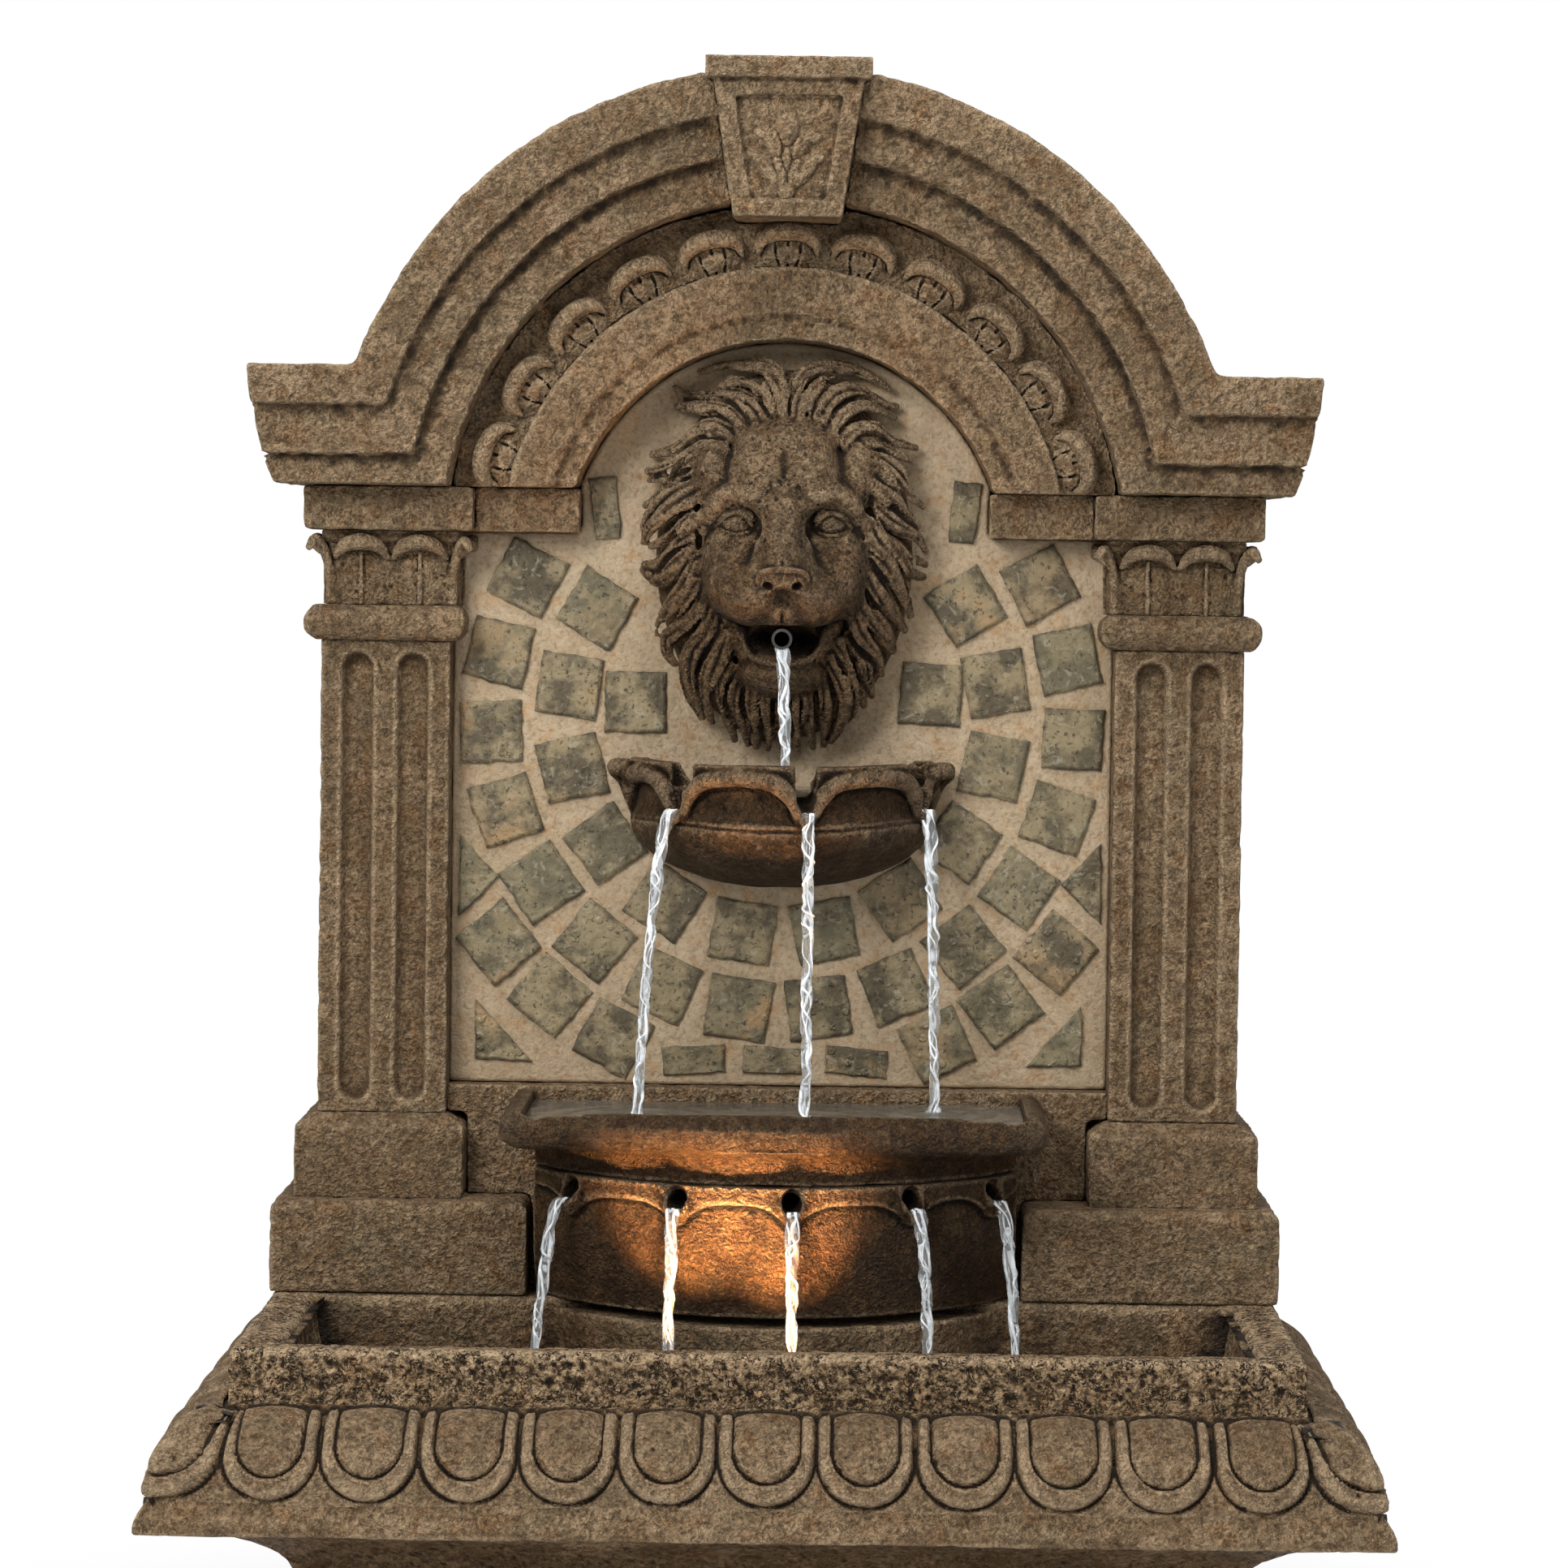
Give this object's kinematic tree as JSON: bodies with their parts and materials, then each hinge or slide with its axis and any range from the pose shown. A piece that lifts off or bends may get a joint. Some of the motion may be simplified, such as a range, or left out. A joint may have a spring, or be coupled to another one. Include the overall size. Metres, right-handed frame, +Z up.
{
  "type": "garden wall fountain",
  "caption": "Arched garden wall fountain of cast stone: lion mask over a half bowl, shelf tray, scalloped bowl and basin, with pump, lamp and service door inside.",
  "frame": {"origin": "centre of the footprint at floor level", "axes": "+X to the viewer's right, -Y out of the front, +Z up"},
  "size_m": [0.85, 0.43, 1.295],
  "materials": {
    "cast_stone": "cast stone, tan with brown pits and speckles, matt",
    "mortar": "rough beige mortar",
    "slate": "riven slate, grey-green with rust stains",
    "lion_stone": "cast stone with a brown wash in its recesses",
    "bowl_stone": "cast stone darkened by water, semi-gloss where wet",
    "dark_pipe": "dark plastic pipe",
    "pump_plastic": "black plastic",
    "dial_plastic": "grey plastic",
    "lamp_plastic": "black plastic",
    "board_white": "white circuit board",
    "panel_board": "tan sheet, matt",
    "hose_vinyl": "grey vinyl hose",
    "rubber_black": "black rubber",
    "shaft_ceramic": "ground ceramic",
    "lens_glass": "clear glass",
    "steel": "stainless",
    "brass": "dull brass"
  },
  "bodies": {
    "fountain": {"pedestal": "cast_stone", "basin": "cast_stone", "plinth_lower_left": "cast_stone", "plinth_lower_right": "cast_stone", "plinth_upper_left": "cast_stone", "plinth_upper_right": "cast_stone", "column_left": "cast_stone", "column_right": "cast_stone", "neck_ring_left": "cast_stone", "neck_ring_right": "cast_stone", "capital_left": "cast_stone", "capital_right": "cast_stone", "abacus_left": "cast_stone", "abacus_right": "cast_stone", "impost_left": "cast_stone", "impost_right": "cast_stone", "wall_core": "cast_stone", "sill_course": "cast_stone", "arch_cornice": "cast_stone", "arch_frieze": "cast_stone", "frieze_leaves": "cast_stone", "arch_ring": "cast_stone", "keystone": "cast_stone", "keystone_bud": "cast_stone", "foot_pads": "rubber_black", "mortar_bed": "mortar", "lion_mask": "lion_stone", "slate_tiles_outer_ring": "slate", "slate_tiles_inner_ring": "slate", "slate_tiles_lower": "slate", "slate_tiles_edge": "slate", "upper_bowl": "bowl_stone", "shelf_tray": "bowl_stone", "scallop_bowl": "bowl_stone", "lion_nozzle": "dark_pipe", "nozzle_nut": "pump_plastic", "riser_hose": "hose_vinyl", "hose_clamps": "steel", "pump_housing": "pump_plastic", "pump_shaft": "shaft_ceramic", "pump_suction_feet": "rubber_black", "lamp_bracket": "lamp_plastic", "lamp_pivots": "steel", "back_panel": "panel_board", "panel_screws": "steel", "door_hinge_pins": "steel", "tie_rods": "steel", "tie_nuts": "steel", "drain_bushing": "brass", "cable_grommet": "rubber_black"},
    "impeller": {"pump_impeller": "pump_plastic"},
    "intake_cover": {"pump_intake_cover": "pump_plastic"},
    "dial": {"flow_dial": "dial_plastic"},
    "lamp_head": {"lamp_body": "lamp_plastic", "lamp_bezel": "steel", "lamp_lens": "lens_glass", "lamp_led_board": "board_white"},
    "door": {"access_door": "panel_board"},
    "plug": {"drain_plug": "rubber_black"}
  },
  "joints": [
    {"name": "impeller_spin", "type": "hinge", "parent": "fountain", "child": "impeller", "pos_m": [0, 0.16, 0.302], "axis": [1, 0, 0], "continuous": true},
    {"name": "intake_cover_slide", "type": "slide", "parent": "fountain", "child": "intake_cover", "axis": [1, 0, 0], "range_m": [0, 0.03]},
    {"name": "flow_dial_turn", "type": "hinge", "parent": "intake_cover", "child": "dial", "pos_m": [0.049, 0.16, 0.302], "axis": [1, 0, 0], "range_deg": [0, 90]},
    {"name": "lamp_tilt", "type": "hinge", "parent": "fountain", "child": "lamp_head", "pos_m": [0, -0.066, 0.3], "axis": [1, 0, 0], "range_deg": [-20, 25]},
    {"name": "door_swing", "type": "hinge", "parent": "fountain", "child": "door", "pos_m": [-0.097, 0.212, 0.476], "axis": [0, 0, 1], "range_deg": [0, 110]},
    {"name": "drain_plug_pull", "type": "slide", "parent": "fountain", "child": "plug", "axis": [0, 0, 1], "range_m": [0, 0.04]}
  ]
}
